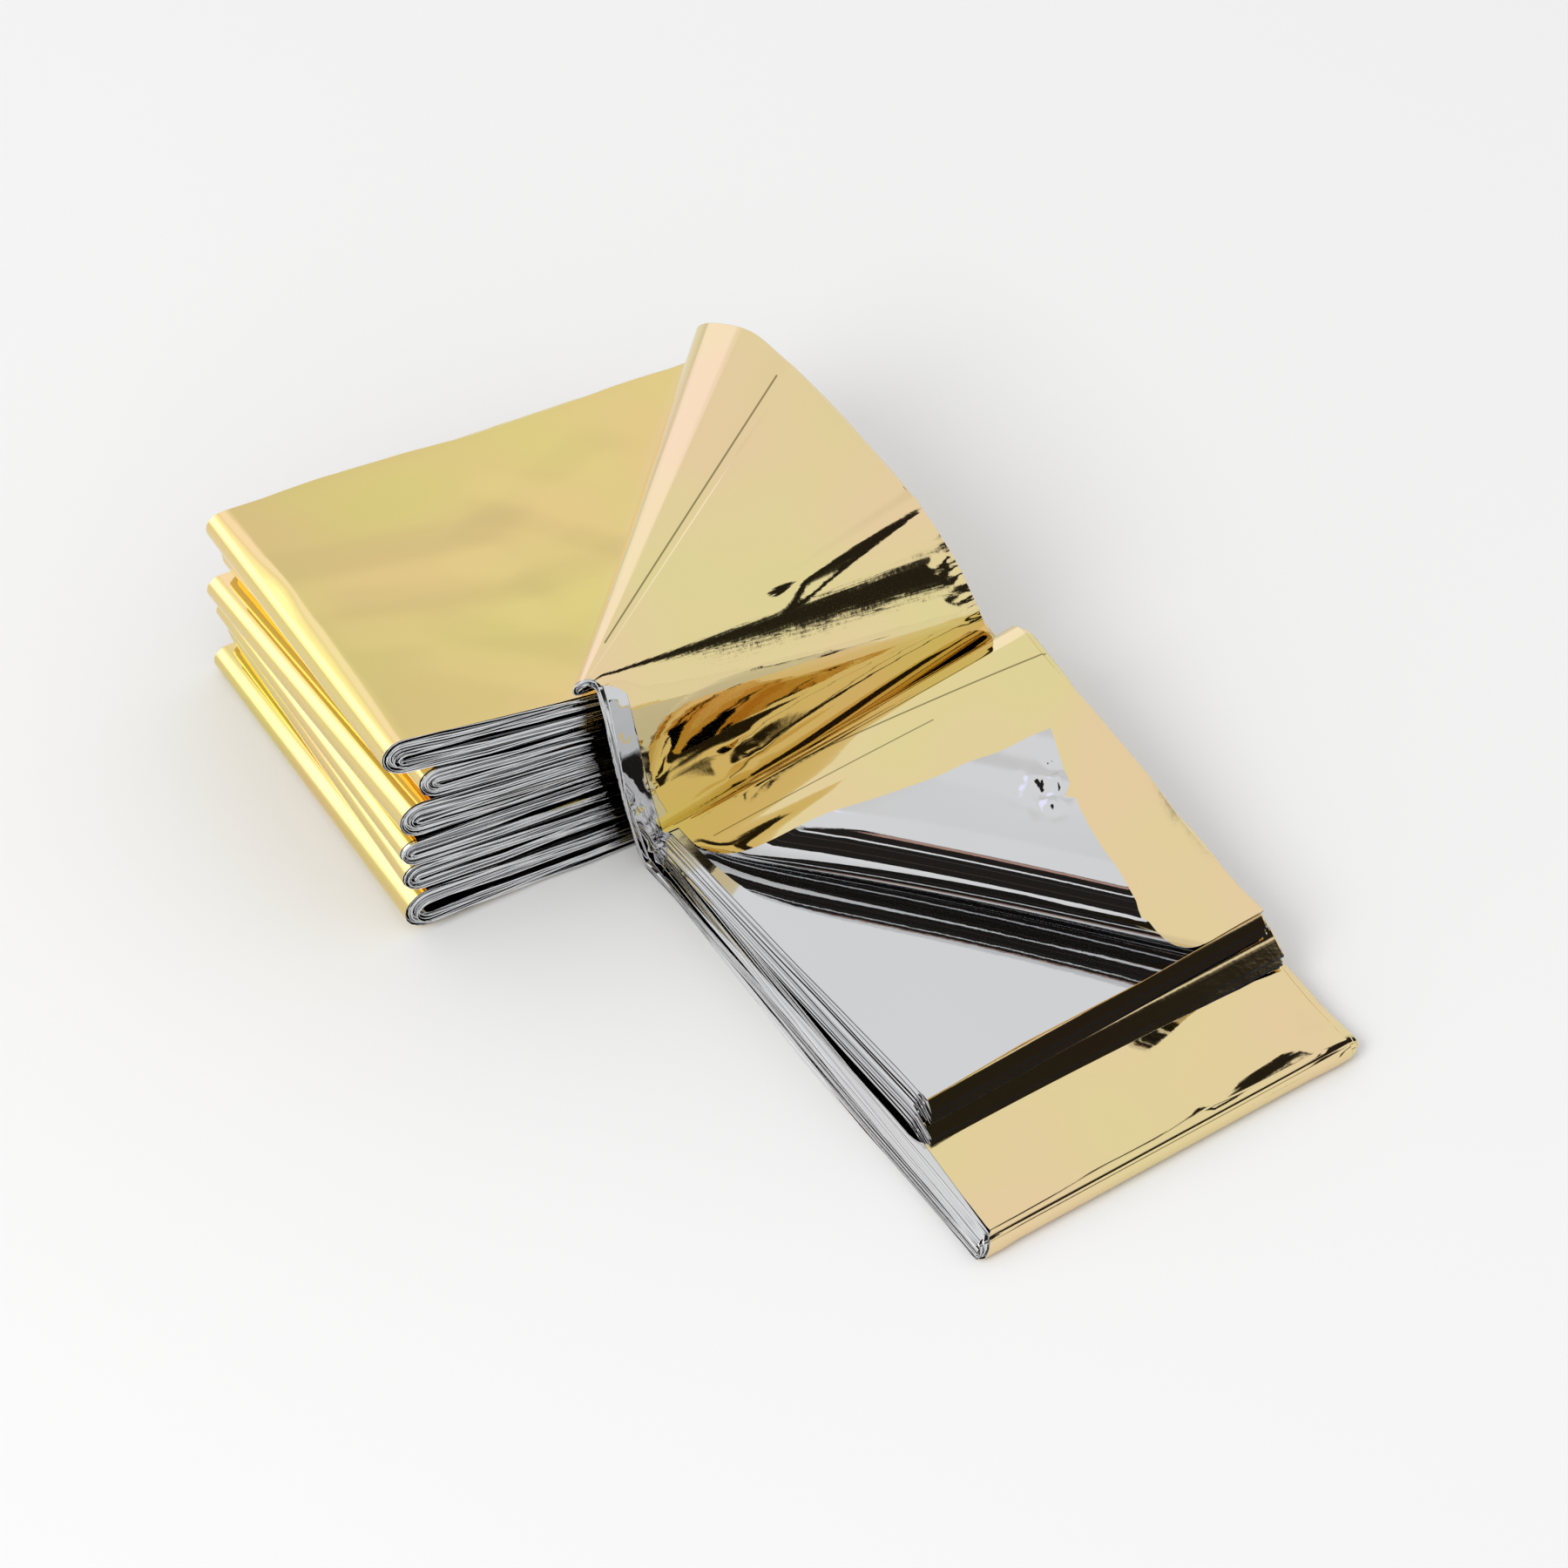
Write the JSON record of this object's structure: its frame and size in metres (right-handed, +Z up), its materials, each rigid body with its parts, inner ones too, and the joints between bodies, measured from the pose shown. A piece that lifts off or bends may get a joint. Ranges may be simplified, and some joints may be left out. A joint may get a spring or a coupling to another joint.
{
  "type": "emergency foil blanket",
  "caption": "Partly unfolded emergency blanket of gold and silver metallised film: a folded stack, a diagonal roll and a lying strip with one peeled corner.",
  "frame": {"origin": "middle of the bounding box's underside, on the surface that the blanket lies on", "axes": "+Z up; +Y away from a viewer who sees the stack on the left and the lying strip in front on the right"},
  "size_m": [0.2304, 0.2122, 0.0576],
  "materials": {
    "metallised_film": "mirror-bright metallised film, gold on one side and silver on the other"
  },
  "bodies": {
    "root": {"foil_blanket": "metallised_film"}
  },
  "joints": []
}
